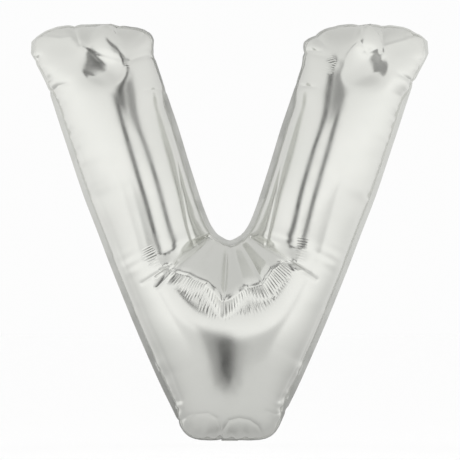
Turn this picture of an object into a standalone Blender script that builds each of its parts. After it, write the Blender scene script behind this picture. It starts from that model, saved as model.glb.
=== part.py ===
"""Inflated foil balloon in the shape of the letter V.

Two domed films meet in a flat heat-sealed flange that runs all the way round the letter.
A filling neck hangs on the flange's bottom edge, folded back under the foot, with a clear
valve film lying in its mouth.
"""

import math

import bmesh
import bpy
import numpy as np
from mathutils import Vector

# X runs across the letter, Y from its front to its back and Z up, in metres.
# The origin is the centre of lift, in the plane of the seam.
LIFT_HEIGHT = 0.430  # from the letter's bottom edge up to the centre of lift
FILM = 0.0015  # the films' modelled thickness
PLY_GAP = 0.0003  # between the two plies of the flange
FLANGE_WIDTH = 0.010
CAP_LENGTH = 0.200  # over which a leg's end closes, measured along the leg
CAP_STEPS = 7
STEPS_PER_SECTION = 3
CLEAR_OF_CAP = 0.2  # sections between a cap and the nearest row of the body
ARC_STEPS = 13  # across the letter; an odd number leaves a flat strip along each crest

# Sections across the letter, from the middle of its foot up the right leg. The left leg is
# their mirror image. Heights are above the letter's bottom edge. Slack is how much flatter the
# film lies on the section's inner half, where the films' fan spreads from the crotch.
# Columns: inner x, inner height, outer x, outer height, half depth, bow towards the leg's end,
# slack.
SECTIONS = (
    (0.000, 0.403, 0.000, 0.012, 0.113, 0.000, 0.70),
    (0.011, 0.406, 0.060, 0.012, 0.112, 0.000, 0.70),
    (0.022, 0.412, 0.087, 0.025, 0.109, 0.000, 0.72),
    (0.032, 0.419, 0.106, 0.064, 0.107, 0.000, 0.74),
    (0.041, 0.430, 0.139, 0.132, 0.100, 0.000, 0.78),
    (0.051, 0.447, 0.187, 0.242, 0.090, 0.000, 0.72),
    (0.064, 0.480, 0.232, 0.353, 0.085, 0.000, 0.50),
    (0.073, 0.507, 0.264, 0.437, 0.087, 0.000, 0.30),
    (0.092, 0.566, 0.293, 0.512, 0.091, 0.000, 0.00),
    (0.116, 0.645, 0.324, 0.605, 0.091, 0.000, 0.00),
    (0.137, 0.706, 0.347, 0.674, 0.091, 0.002, 0.00),
    (0.149, 0.743, 0.364, 0.728, 0.091, 0.008, 0.00),
    (0.158, 0.770, 0.377, 0.757, 0.091, 0.016, 0.00),
    (0.168, 0.800, 0.395, 0.790, 0.091, 0.026, 0.00),
    (0.170, 0.817, 0.404, 0.812, 0.091, 0.034, 0.00),
)
BOW_POWER = 4  # how flat the bow of a leg's end is along its middle

# The filling neck: a flat sleeve folded at its root, on the back face of the flange.
NECK_LENGTH = 0.080
NECK_WIDTH = 0.034
NECK_THICKNESS = 0.003
NECK_ROOT_GAP = 0.0010
NECK_LIFT = math.radians(15)  # how far the folded neck points above level, at the back
NECK_ROOT_ARC_STEPS = 8
SLOT_WIDTH = 0.026
SLOT_DEPTH = 0.060  # from the mouth towards the root
VALVE_GAP = 0.0003
VALVE_WIDTH = 0.024
VALVE_PROUD = 0.008  # past the neck's mouth
SLOT_HEIGHT = 0.0014

SILVER = (0.78, 0.78, 0.76, 1.0)
CLEAR = (0.86, 0.88, 0.86, 1.0)


def clear_scene():
    for obj in list(bpy.data.objects):
        bpy.data.objects.remove(obj)


def material(name, colour, roughness, metallic):
    made = bpy.data.materials.new(name)
    made.use_nodes = True
    shader = made.node_tree.nodes["Principled BSDF"]
    shader.inputs["Base Color"].default_value = colour
    shader.inputs["Roughness"].default_value = roughness
    shader.inputs["Metallic"].default_value = metallic
    return made


def add_object(name, mesh, finish):
    obj = bpy.data.objects.new(name, mesh)
    bpy.context.scene.collection.objects.link(obj)
    mesh.materials.append(finish)
    return obj


def mesh_from_bmesh(name, bm):
    bmesh.ops.recalc_face_normals(bm, faces=bm.faces)
    mesh = bpy.data.meshes.new(name)
    bm.to_mesh(mesh)
    bm.free()
    return mesh


def letter_rows():
    """Every section from the left leg's end round the foot to the right leg's end."""
    right = np.array(SECTIONS)
    left = right[:0:-1].copy()
    left[:, [0, 2]] *= -1
    return np.vstack([left, right])


def smooth_row(rows, at):
    """The row at parameter at, on a Catmull-Rom curve through all the rows."""
    last = len(rows) - 1
    start = min(int(at), last - 1)
    t = at - start
    a, b, c, d = (rows[min(max(start + k, 0), last)] for k in (-1, 0, 1, 2))
    return b + 0.5 * t * (c - a + t * (2 * a - 5 * b + 4 * c - d + t * (3 * (b - c) + d - a)))


def row_middle(row):
    return (row[0:2] + row[2:4]) / 2


def stations(rows):
    """Section parameters, closer together where each leg's end closes."""
    last = len(rows) - 1
    along = np.linspace(0, last, last * STEPS_PER_SECTION + 1)
    middles = np.array([row_middle(smooth_row(rows, at)) for at in along])
    lengths = np.concatenate([[0], np.cumsum(np.linalg.norm(np.diff(middles, axis=0), axis=1))])
    turns = np.linspace(0, math.pi / 2, CAP_STEPS + 1)
    from_end = CAP_LENGTH * (1 - np.cos(turns))
    cap = np.interp(from_end, lengths, along)
    first = cap[-1] + CLEAR_OF_CAP
    body = along[(along > first) & (along < last - first)]
    at = np.concatenate([cap, body, last - cap[::-1]])
    closing = np.concatenate([np.sin(turns), np.ones(len(body)), np.sin(turns[::-1])])
    return list(zip(at, closing))


def section_points(row, closing, side):
    """Points over one dome, from the inner seam to the outer seam, near to half an ellipse."""
    inner, outer, depth, bow, slack = row[0:2], row[2:4], row[4] * closing, row[5], row[6]
    chord = outer - inner
    across = np.array([-chord[1], chord[0]]) / np.linalg.norm(chord)
    if across[1] < 0:
        across = -across
    points = []
    for step in range(ARC_STEPS + 1):
        turn = math.pi * step / ARC_STEPS
        share = (1 - math.cos(turn)) / 2
        x, height = inner + chord * share + across * bow * (1 - abs(2 * share - 1) ** BOW_POWER)
        fullness = 1 - slack * max(0, 1 - 2 * share) ** 2
        y = side * (PLY_GAP / 2 + depth * math.sin(turn) * fullness)
        points.append(Vector((x, y, height - LIFT_HEIGHT)))
    return points


def flange_edge(loop):
    """The seam loop moved out by the flange's width, in the seam plane."""
    way_out = 1 if signed_area(loop) > 0 else -1
    moved = []
    for before, here, after in zip(loop[-1:] + loop[:-1], loop, loop[1:] + loop[:1]):
        first = Vector((here.z - before.z, 0, before.x - here.x)).normalized()
        second = Vector((after.z - here.z, 0, here.x - after.x)).normalized()
        moved.append(here + (first + second).normalized() * way_out * FLANGE_WIDTH)
    return moved


def signed_area(loop):
    return sum(a.x * b.z - b.x * a.z for a, b in zip(loop, loop[1:] + loop[:1])) / 2


def film(name, side, finish):
    """One film: its dome and its ply of the flange. side is -1 for the front and 1 for the back."""
    rows = letter_rows()
    grid = [section_points(smooth_row(rows, at), closing, side) for at, closing in stations(rows)]
    bm = bmesh.new()
    placed = [[bm.verts.new(point) for point in line] for line in grid]
    for line, following in zip(placed, placed[1:]):
        for step in range(ARC_STEPS):
            bm.faces.new((line[step], line[step + 1], following[step + 1], following[step]))
    seam = (
        [line[0] for line in placed]
        + placed[-1][1:]
        + [line[-1] for line in placed[-2::-1]]
        + placed[0][-2:0:-1]
    )
    loop = [vert.co.copy() for vert in seam]
    edge = [bm.verts.new(point) for point in flange_edge(loop)]
    for k in range(len(seam)):
        n = (k + 1) % len(seam)
        bm.faces.new((seam[k], seam[n], edge[n], edge[k]))
    obj = add_object(name, mesh_from_bmesh(name, bm), finish)
    face_outwards(obj.data, side)
    shell = obj.modifiers.new("film thickness", "SOLIDIFY")
    shell.thickness = FILM
    shell.offset = 1
    shell.use_even_offset = True
    obj.data.shade_smooth()
    return obj


def face_outwards(mesh, side):
    """Turns the open film so that its normals point away from the seam plane."""
    if sum(face.normal.y * face.area for face in mesh.polygons) * side < 0:
        mesh.flip_normals()


def prism_along_x(name, outline, width):
    """A closed outline of (y, z) points, pushed out to a width centred on x = 0."""
    bm = bmesh.new()
    base = bm.faces.new([bm.verts.new((-width / 2, y, z)) for y, z in outline])
    pushed = bmesh.ops.extrude_face_region(bm, geom=[base])
    moved = [item for item in pushed["geom"] if isinstance(item, bmesh.types.BMVert)]
    bmesh.ops.translate(bm, verts=moved, vec=(width, 0, 0))
    return mesh_from_bmesh(name, bm)


def neck_outline():
    """The neck from the side: a rounded root on the fold line, then a flat strip."""
    half = NECK_THICKNESS / 2
    turns = [math.pi / 2 + math.pi * k / NECK_ROOT_ARC_STEPS for k in range(NECK_ROOT_ARC_STEPS + 1)]
    root = [(half * math.cos(turn), half * math.sin(turn)) for turn in turns]
    return root + [(NECK_LENGTH, -half), (NECK_LENGTH, half)]


def strip_outline(start, end, thickness):
    half = thickness / 2
    return [(start, -half), (end, -half), (end, half), (start, half)]


def filling_neck(silver, clear):
    """The folded sleeve with its slot, and the valve film in it, both turned about the fold."""
    half = NECK_THICKNESS / 2
    fold = Vector((0, PLY_GAP / 2 + FILM, lowest_flange() - NECK_ROOT_GAP - half))
    neck = add_object("filling_neck", prism_along_x("neck", neck_outline(), NECK_WIDTH), silver)
    slot_start = NECK_LENGTH - SLOT_DEPTH
    slot = prism_along_x("slot", strip_outline(slot_start, NECK_LENGTH * 1.1, SLOT_HEIGHT), SLOT_WIDTH)
    cutter = add_object("slot_cutter", slot, silver)
    cutter.hide_render = True
    cutter.display_type = "WIRE"
    cut = neck.modifiers.new("slot", "BOOLEAN")
    cut.operation = "DIFFERENCE"
    cut.object = cutter
    valve_outline = strip_outline(
        slot_start + VALVE_GAP, NECK_LENGTH + VALVE_PROUD, SLOT_HEIGHT - 2 * VALVE_GAP
    )
    valve = add_object("valve_film", prism_along_x("valve", valve_outline, VALVE_WIDTH), clear)
    for obj in (neck, cutter, valve):
        obj.location = fold
        obj.rotation_euler = (NECK_LIFT, 0, 0)


def lowest_flange():
    """Height of the flange's bottom edge, at the middle of the foot."""
    return SECTIONS[0][3] - FLANGE_WIDTH - LIFT_HEIGHT


def main():
    clear_scene()
    silver = material("silver foil", SILVER, 0.2, 1.0)
    clear = material("clear valve film", CLEAR, 0.3, 0.0)
    film("front_film", -1, silver)
    film("back_film", 1, silver)
    filling_neck(silver, clear)


main()
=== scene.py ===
import math

import bmesh
import bpy
import numpy as np
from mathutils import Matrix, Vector
from mathutils.geometry import delaunay_2d_cdt


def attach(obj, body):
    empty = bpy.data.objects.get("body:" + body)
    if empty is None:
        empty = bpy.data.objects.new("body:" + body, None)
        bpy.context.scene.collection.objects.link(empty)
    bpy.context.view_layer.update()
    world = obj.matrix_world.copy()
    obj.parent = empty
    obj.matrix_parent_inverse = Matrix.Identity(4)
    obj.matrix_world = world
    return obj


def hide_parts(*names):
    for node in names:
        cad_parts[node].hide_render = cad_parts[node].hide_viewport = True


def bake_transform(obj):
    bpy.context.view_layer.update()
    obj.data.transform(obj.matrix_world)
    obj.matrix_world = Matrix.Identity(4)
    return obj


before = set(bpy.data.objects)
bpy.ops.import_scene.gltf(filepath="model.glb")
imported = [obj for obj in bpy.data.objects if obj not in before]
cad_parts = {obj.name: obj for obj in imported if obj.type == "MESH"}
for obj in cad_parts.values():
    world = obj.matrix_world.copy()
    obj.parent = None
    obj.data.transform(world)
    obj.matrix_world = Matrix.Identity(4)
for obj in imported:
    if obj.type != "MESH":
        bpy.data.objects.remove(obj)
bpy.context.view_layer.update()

# The looks of an inflated foil letter V. Lengths are metres. X runs across the letter, Y from
# front to back, Z up. Places on the letter are (x, height), with heights above its bottom edge.

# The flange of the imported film, by which its outline is found there.
RIM_SLOPE = 0.3  # the rim's faces look outwards, so their normals have less than this along Y
RIM_NEAR = 0.003  # from the seam plane to all of their corners
RIM_PLANE = -0.0006  # least y of the corners that are taken
PER_METRE = 1e5  # corners that round to the same place at this fineness are one

# The films' flat cut and their inflation.
FLANGE = 0.010  # width of the heat-sealed edge
COARSE = 0.016  # edge length of the film's first mesh; each level halves it
LEVEL_STEPS = (400, 300, 200)
SEARCH_STEPS = 300
SEARCH_ROUNDS = 7
SEARCH_GAIN = 0.7
SEARCH_SMOOTHING = 3
PRESSURE = 0.05
DAMPING = 0.95
SWEEPS = 2
BENDING = 0.05
SQUEEZE_PLAIN = 0.02  # share of a squeezed edge's shortening that is pushed back each sweep
SQUEEZE_JUNCTION = 0.05
JUNCTION_CENTRE = (0.0, 0.40)
JUNCTION_REACH = 0.30
START_BULGE = 0.020  # of the film before it is blown up
START_REACH = 0.1  # distance from the seam at which it has that bulge
# Corners of the first guess at the flat cut, right half from the foot: x, height, corner radius.
FIRST_CUT = (
    (0.120, -0.020, 0.050),
    (0.480, 0.900, 0.040),
    (0.165, 0.915, 0.040),
    (0.000, 0.430, 0.040),
)


def closed(loop):
    """A loop's rows with the first one again at the end."""
    return np.vstack([loop, loop[:1]])


def marks_along(line):
    """How far along a polyline each of its points is."""
    return np.concatenate([[0], np.cumsum(np.linalg.norm(np.diff(line, axis=0), axis=1))])


def rows_at(along, marks, rows):
    """Rows interpolated at places along their marks."""
    return np.stack([np.interp(along, marks, column) for column in rows.T], 1)


def resample(loop, step):
    """A closed loop at an even number of equal steps."""
    line = closed(loop)
    marks = marks_along(line)
    count = int(round(marks[-1] / step / 2) * 2)
    return rows_at(np.arange(count) / count * marks[-1], marks, line)


def soften(values, rounds):
    """Values round a closed loop, each blended with its neighbours."""
    for _ in range(rounds):
        values = 0.25 * np.roll(values, 1, axis=0) + 0.5 * values + 0.25 * np.roll(values, -1, axis=0)
    return values


def unit(rows):
    return rows / np.linalg.norm(rows, axis=1)[:, None]


def outward(loop):
    """Unit normals of a closed (x, z) loop, pointing out of it."""
    ahead = np.roll(loop, -1, axis=0)
    ways = unit(loop - np.roll(loop, 1, axis=0)) + unit(ahead - loop)
    area = np.sum(loop[:, 0] * ahead[:, 1] - ahead[:, 0] * loop[:, 1])
    return unit(np.stack([ways[:, 1], -ways[:, 0]], 1)) * (1 if area > 0 else -1)


def inside(points, loop):
    """Which points lie inside a closed loop."""
    x, z = points[:, 0], points[:, 1]
    found = np.zeros(len(points), bool)
    for (x0, z0), (x1, z1) in zip(loop, np.roll(loop, -1, axis=0)):
        if z0 != z1:
            found ^= ((z0 > z) != (z1 > z)) & (x < (x1 - x0) * (z - z0) / (z1 - z0) + x0)
    return found


def nearest_on(points, line):
    """Distance from each point to an open polyline, how far along it that is, and the side."""
    best = np.full(len(points), 1e9)
    along = np.zeros(len(points))
    side = np.zeros(len(points))
    start = 0.0
    for a, b in zip(line, line[1:]):
        run = b - a
        length = np.linalg.norm(run)
        share = np.clip(((points - a) @ run) / (length * length), 0, 1)
        off = points - (a + share[:, None] * run)
        distance = np.linalg.norm(off, axis=1)
        closer = distance < best
        best[closer] = distance[closer]
        along[closer] = start + share[closer] * length
        turn = run[0] * (points[:, 1] - a[1]) - run[1] * (points[:, 0] - a[0])
        side[closer] = np.sign(turn)[closer]
        start += length
    return best, along, side


def loop_distance(points, loop):
    """Distance to a closed loop, negative inside it."""
    distance, _, _ = nearest_on(points, closed(loop))
    return np.where(inside(points, loop), -distance, distance)


def smooth(share):
    share = np.clip(share, 0, 1)
    return share * share * (3 - 2 * share)


def rim_outline(mesh):
    """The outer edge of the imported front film's flange, as (x, z) points in order."""
    places = np.array([vertex.co for vertex in mesh.vertices])
    _, first, same = np.unique(
        np.round(places * PER_METRE).astype(int), axis=0, return_index=True, return_inverse=True
    )
    same = same.ravel()
    spots = places[first]
    beside = {}
    for face in mesh.polygons:
        farthest = max(abs(places[k][1]) for k in face.vertices)
        on_rim = abs(face.normal.y) < RIM_SLOPE and farthest < RIM_NEAR
        ids = [int(same[k]) for k in face.vertices]
        for a, b in zip(ids, ids[1:] + ids[:1]):
            if on_rim and a != b and min(spots[a][1], spots[b][1]) > RIM_PLANE:
                beside.setdefault(a, set()).add(b)
                beside.setdefault(b, set()).add(a)
    here = min(beside)
    order = [here]
    before = None
    while True:
        onward = [k for k in sorted(beside[here]) if k != before][0]
        if onward == order[0]:
            return spots[order][:, [0, 2]]
        order.append(onward)
        before, here = here, onward


def rounded(corners, step):
    """A closed outline through corners (x, z, radius), with round corners."""
    points = [np.array(corner[:2]) for corner in corners]
    out = []
    for k, corner in enumerate(points):
        back = points[k - 1] - corner
        ahead = points[(k + 1) % len(points)] - corner
        back /= np.linalg.norm(back)
        ahead /= np.linalg.norm(ahead)
        half = math.acos(np.clip(back @ ahead, -1, 1)) / 2
        radius = corners[k][2]
        centre = corner + (back + ahead) / np.linalg.norm(back + ahead) * radius / math.sin(half)
        first = corner + back * radius / math.tan(half) - centre
        last = corner + ahead * radius / math.tan(half) - centre
        start = math.atan2(first[1], first[0])
        turn = (math.atan2(last[1], last[0]) - start + math.pi) % (2 * math.pi) - math.pi
        count = max(2, int(abs(turn) * radius / step) + 1)
        for j in range(count + 1):
            angle = start + turn * j / count
            out.append(centre + radius * np.array([math.cos(angle), math.sin(angle)]))
    return np.array(out)


def flat_mesh(outline, size):
    """Triangles over a flat cut: its points, the triangles, the seam's loop and the rim's loop."""
    seam = resample(outline, size)
    low, high = seam.min(0), seam.max(0)
    rise = size * math.sqrt(3) / 2
    reach = int(max(abs(low[0]), high[0]) / size) + 2
    lattice = np.array([
        (i * size + (0.5 * size if j % 2 else 0), low[1] + j * rise)
        for j in range(int((high[1] - low[1]) / rise) + 2)
        for i in range(-reach, reach + 1)
    ])
    lattice = lattice[loop_distance(lattice, seam) < -0.6 * size]
    count = len(seam)
    points = np.vstack([seam, lattice])
    edges = [(k, (k + 1) % count) for k in range(count)]
    _, _, faces, origin, _, _ = delaunay_2d_cdt([Vector(p) for p in points], edges, [], 1, 1e-6)
    origin = np.array([ids[0] for ids in origin])
    triangles = origin[np.array(faces)]
    rim = seam + outward(seam) * FLANGE
    seam_loop = np.arange(count)
    rim_loop = np.arange(len(points), len(points) + count)
    points = np.vstack([points, rim])
    seam_next, rim_next = np.roll(seam_loop, -1), np.roll(rim_loop, -1)
    triangles = np.vstack([
        triangles,
        np.stack([seam_loop, seam_next, rim_loop], 1),
        np.stack([seam_next, rim_next, rim_loop], 1),
    ])
    a, b, c = points[triangles[:, 0]], points[triangles[:, 1]], points[triangles[:, 2]]
    turned = (b - a)[:, 0] * (c - a)[:, 1] < (b - a)[:, 1] * (c - a)[:, 0]
    triangles[turned] = triangles[turned][:, [0, 2, 1]]
    return points, triangles, seam_loop, rim_loop


def edges_of(triangles):
    """Each edge once, and the two corners opposite it (-1 where there is one triangle)."""
    ends = np.vstack([triangles[:, [0, 1]], triangles[:, [1, 2]], triangles[:, [2, 0]]])
    opposite = np.concatenate([triangles[:, 2], triangles[:, 0], triangles[:, 1]])
    key = ends.min(1).astype(np.int64) * (ends.max() + 1) + ends.max(1)
    order = np.argsort(key, kind="stable")
    key, ends, opposite = key[order], ends[order], opposite[order]
    first = np.flatnonzero(np.concatenate([[True], key[1:] != key[:-1]]))
    shared = np.diff(np.append(first, len(key))) == 2
    wings = np.full((len(first), 2), -1)
    wings[:, 0] = opposite[first]
    wings[shared, 1] = opposite[first[shared] + 1]
    return np.sort(ends[first], axis=1), wings


def groups_of(edges, count):
    """Edges sorted into groups in which no two share a point."""
    used = [0] * count
    group = np.zeros(len(edges), int)
    for k, (a, b) in enumerate(edges.tolist()):
        taken = used[a] | used[b]
        free = (~taken & (taken + 1)).bit_length() - 1
        group[k] = free
        used[a] |= 1 << free
        used[b] |= 1 << free
    return [np.flatnonzero(group == k) for k in range(group.max() + 1)]


def summed_normals(shape, triangles):
    """The normals of the triangles round each point, weighted by their areas and added up."""
    corners = shape[triangles]
    normals = np.cross(corners[:, 1] - corners[:, 0], corners[:, 2] - corners[:, 0])
    total = np.zeros_like(shape)
    for corner in range(3):
        for axis in range(3):
            total[:, axis] += np.bincount(triangles[:, corner], normals[:, axis], len(shape))
    return total


def vertex_normals(shape, triangles):
    total = summed_normals(shape, triangles)
    return total / (np.linalg.norm(total, axis=1)[:, None] + 1e-15)


def squeeze_at(flat):
    """How hard the film resists squeezing: most where it crumples, round the crotch."""
    away = np.linalg.norm(flat - np.array(JUNCTION_CENTRE), axis=1)
    near = smooth(1.5 * (1 - away / JUNCTION_REACH))
    return SQUEEZE_PLAIN + (SQUEEZE_JUNCTION - SQUEEZE_PLAIN) * near


def inflate(flat, triangles, planar, shape, steps):
    """Blows one film up from the seam plane, towards -Y, until it comes to rest.

    The film can't stretch, hardly resists squeezing, and its seam and flange stay in the plane.
    Ties along the edges pull and push back a share of their change in length, and those across
    an edge, which resist bending, only push.
    """
    count = len(flat)
    edges, wings = edges_of(triangles)
    squeeze = squeeze_at(flat)
    ties = []
    for pairs, pull in ((edges, 0.5), (wings[wings[:, 1] >= 0], 0.0)):
        for group in groups_of(pairs, count):
            a, b = pairs[group, 0], pairs[group, 1]
            push = 0.25 * (squeeze[a] + squeeze[b]) if pull else 0.5 * BENDING
            ties.append((a, b, np.linalg.norm(flat[a] - flat[b], axis=1), pull, push))
    speed = np.zeros_like(shape)
    for _ in range(steps):
        before = shape
        shape = shape + speed * DAMPING + summed_normals(shape, triangles) * PRESSURE
        for _ in range(SWEEPS):
            for a, b, length, pull, push in ties:
                gap = shape[b] - shape[a]
                now = np.sqrt(np.einsum("ij,ij->i", gap, gap)) + 1e-12
                change = (now - length) / now
                gap *= (change * np.where(change > 0, pull, push))[:, None]
                shape[a] += gap
                shape[b] -= gap
            shape[planar, 1] = 0
            shape[:, 1] = np.minimum(shape[:, 1], 0)
        speed = shape - before
    return shape


def start_shape(flat, seam, planar):
    """The film barely lifted out of the seam plane."""
    away = np.clip(-loop_distance(flat, flat[seam]), 0, START_REACH)
    shape = np.stack([flat[:, 0], -START_BULGE * np.sqrt(away / START_REACH), flat[:, 1]], 1)
    shape[planar, 1] = 0
    return shape


def find_cut(target):
    """The flat cut whose inflated rim has the target outline, by correcting a first guess."""
    left = [(-x, z, radius) for x, z, radius in FIRST_CUT[:3]][::-1]
    cut = resample(rounded(list(FIRST_CUT) + left, COARSE / 4), COARSE / 2)
    for _ in range(SEARCH_ROUNDS):
        flat, triangles, seam, rim = flat_mesh(cut, COARSE)
        planar = np.concatenate([seam, rim])
        shape = start_shape(flat, seam, planar)
        shape = inflate(flat, triangles, planar, shape, SEARCH_STEPS)
        error = soften(loop_distance(shape[rim][:, [0, 2]], target), SEARCH_SMOOTHING)
        cut = flat[seam] - outward(flat[seam]) * (SEARCH_GAIN * error)[:, None]
        cut = resample(cut, COARSE / 2)
        mirrored = cut[::-1] * (-1, 1)
        cut = cut - outward(cut) * (0.5 * loop_distance(cut, mirrored))[:, None]
    return cut


def refine(triangles, chosen, columns, shape, planar):
    """Halves the chosen edges. New points lie on the curve that the normals at both ends give.

    columns are arrays with a row for each point, which are averaged. Returns the triangles, the
    columns, the shape, the planar flags and a table of edge to new point.
    """
    edges, _ = edges_of(triangles)
    split = edges[chosen(edges)]
    count = len(shape)
    a, b = split[:, 0], split[:, 1]
    normals = vertex_normals(shape, triangles)
    run = shape[b] - shape[a]
    bulge = normals[b] * np.sum(normals[b] * run, 1)[:, None]
    bulge -= normals[a] * np.sum(normals[a] * run, 1)[:, None]
    bulge[planar[a] | planar[b]] = 0
    middle = (shape[a] + shape[b]) / 2 + bulge / 8
    key = a.astype(np.int64) * count + b
    order = np.argsort(key)

    def new_point(p, q):
        wanted = np.minimum(p, q).astype(np.int64) * count + np.maximum(p, q)
        place = np.clip(np.searchsorted(key[order], wanted), 0, len(key) - 1)
        found = order[place]
        return np.where(key[found] == wanted, found + count, -1)

    t = triangles
    mids = np.stack([new_point(t[:, k], t[:, (k + 1) % 3]) for k in range(3)], 1)
    halved = (mids >= 0).sum(1)

    def picked(rows, *corners):
        return np.stack([corner[rows] for corner in corners], 1)

    made = [t[halved == 0]]
    whole = halved == 3
    made += [picked(whole, t[:, k], mids[:, k], mids[:, k - 1]) for k in range(3)] + [mids[whole]]
    for turn in range(3):
        p, q, r = np.roll(t, -turn, axis=1).T
        pq, qr, rp = np.roll(mids, -turn, axis=1).T
        one = (halved == 1) & (pq >= 0)
        made += [picked(one, p, pq, r), picked(one, pq, q, r)]
        two = (halved == 2) & (rp < 0)
        made += [picked(two, pq, q, qr), picked(two, p, pq, qr), picked(two, p, qr, r)]
    columns = [np.concatenate([c, (c[a] + c[b]) / 2]) for c in columns]
    shape = np.vstack([shape, middle])
    planar = np.concatenate([planar, planar[a] & planar[b]])
    middles = dict(zip(zip(a.tolist(), b.tolist()), range(count, count + len(a))))
    return np.vstack(made), columns, shape, planar, middles


def halve_loop(loop, middles):
    """A loop of points with the new points on its edges put in."""
    longer = []
    for a, b in zip(loop.tolist(), np.roll(loop, -1).tolist()):
        longer += [a, middles[(min(a, b), max(a, b))]]
    return np.array(longer)


def every(edges):
    return np.ones(len(edges), bool)


def inflated_film(target):
    """One film at rest: its mesh, and the triangles of the coarser mesh it was refined from."""
    cut = find_cut(target)
    flat, triangles, seam, rim = flat_mesh(cut, COARSE)
    planar = np.zeros(len(flat), bool)
    planar[seam] = True
    planar[rim] = True
    shape = start_shape(flat, seam, np.flatnonzero(planar))
    for level, steps in enumerate(LEVEL_STEPS):
        if level:
            coarse = triangles
            triangles, (flat,), shape, planar, middles = refine(triangles, every, [flat], shape, planar)
            seam = halve_loop(seam, middles)
            rim = halve_loop(rim, middles)
        shape = inflate(flat, triangles, np.flatnonzero(planar), shape, steps)
    return {"triangles": triangles, "shape": shape, "planar": planar, "seam": seam, "rim": rim,
            "coarse_triangles": coarse}


# Creases in the film: name, places, depth at the first place and at the last, width to each side.
CREASES = (
    ("left top", ((-0.319, 0.849), (-0.313, 0.830), (-0.307, 0.813)), 0.0022, 0.0030, 0.010),
    ("left top inner", ((-0.170, 0.844), (-0.181, 0.833)), 0.0020, 0.0010, 0.010),
    ("left end bend", ((-0.229, 0.857), (-0.230, 0.839)), 0.0020, 0.0010, 0.012),
    ("left outer side", ((-0.366, 0.717), (-0.352, 0.728), (-0.330, 0.732)), 0.0024, 0.0008, 0.010),
    ("left outer corner", ((-0.398, 0.783), (-0.390, 0.796)), 0.0020, 0.0010, 0.012),
    ("left inner side", ((-0.127, 0.723), (-0.149, 0.721), (-0.174, 0.717)), 0.0012, 0.0006, 0.008),
    ("left end inner", ((-0.156, 0.793), (-0.169, 0.792), (-0.191, 0.784), (-0.206, 0.777)),
     0.0018, 0.0010, 0.010),
    ("right top first", ((0.267, 0.853), (0.266, 0.822), (0.270, 0.810)), 0.0022, 0.0008, 0.010),
    ("right top second", ((0.314, 0.853), (0.313, 0.824), (0.311, 0.797)), 0.0022, 0.0014, 0.010),
    ("right end inner", ((0.158, 0.804), (0.173, 0.801), (0.187, 0.800)), 0.0026, 0.0010, 0.009),
    ("right inner side", ((0.148, 0.729), (0.160, 0.727), (0.175, 0.725)), 0.0026, 0.0008, 0.009),
    ("right outer side", ((0.372, 0.740), (0.365, 0.743), (0.347, 0.751)), 0.0024, 0.0008, 0.010),
    ("left slit", ((-0.125, 0.640), (-0.110, 0.601), (-0.097, 0.515), (-0.085, 0.444),
                   (-0.073, 0.403)), 0.0010, 0.0020, 0.009),
    ("right slit", ((0.125, 0.646), (0.115, 0.611), (0.103, 0.564), (0.090, 0.485),
                    (0.073, 0.403)), 0.0010, 0.0020, 0.009),
    ("left groove", ((-0.307, 0.598), (-0.268, 0.495), (-0.236, 0.413), (-0.203, 0.332),
                     (-0.171, 0.250), (-0.134, 0.169), (-0.102, 0.084)), 0.0008, 0.0022, 0.012),
    ("right groove", ((0.312, 0.578), (0.283, 0.495), (0.252, 0.413), (0.221, 0.331),
                      (0.182, 0.249), (0.146, 0.167), (0.103, 0.084)), 0.0006, 0.0018, 0.012),
    ("fan left", ((-0.043, 0.415), (-0.101, 0.365), (-0.147, 0.318)), 0.0012, 0.0026, 0.009),
    ("fan left second", ((-0.067, 0.401), (-0.120, 0.364), (-0.178, 0.326)), 0.0008, 0.0016, 0.008),
    ("fan middle", ((-0.005, 0.401), (-0.008, 0.342), (-0.013, 0.288)), 0.0012, 0.0018, 0.009),
    ("fan right", ((0.022, 0.412), (0.045, 0.372), (0.069, 0.326), (0.087, 0.300)), 0.0010, 0.0022, 0.009),
    ("fan outer", ((0.042, 0.417), (0.112, 0.377), (0.175, 0.334)), 0.0012, 0.0022, 0.009),
    ("knot low", ((-0.149, 0.340), (-0.137, 0.347), (-0.127, 0.354)), 0.0034, 0.0026, 0.006),
    ("knot middle", ((-0.141, 0.353), (-0.129, 0.360), (-0.119, 0.365)), 0.0034, 0.0026, 0.006),
    ("knot high", ((-0.123, 0.347), (-0.113, 0.359), (-0.104, 0.371)), 0.0030, 0.0022, 0.006),
    ("foot middle", ((-0.016, -0.002), (-0.017, 0.024)), 0.0015, 0.0012, 0.010),
    ("foot left", ((-0.084, 0.015), (-0.081, 0.042), (-0.069, 0.058), (-0.044, 0.061),
                   (-0.026, 0.050), (-0.017, 0.024)), 0.0010, 0.0012, 0.010),
    ("foot right", ((-0.014, 0.024), (-0.001, 0.046), (0.019, 0.051), (0.041, 0.046),
                    (0.058, 0.033), (0.066, 0.016)), 0.0012, 0.0010, 0.010),
    ("left ankle", ((-0.101, 0.043), (-0.090, 0.052), (-0.077, 0.058)), 0.0018, 0.0010, 0.010),
    ("right ankle", ((0.113, 0.061), (0.095, 0.056), (0.077, 0.065)), 0.0020, 0.0010, 0.010),
)
CREASE_FADE = 0.012  # over which a crease runs out at an end inside the film
SEAM_FADE = 0.008  # over which the film's details fade towards the seam

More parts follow.
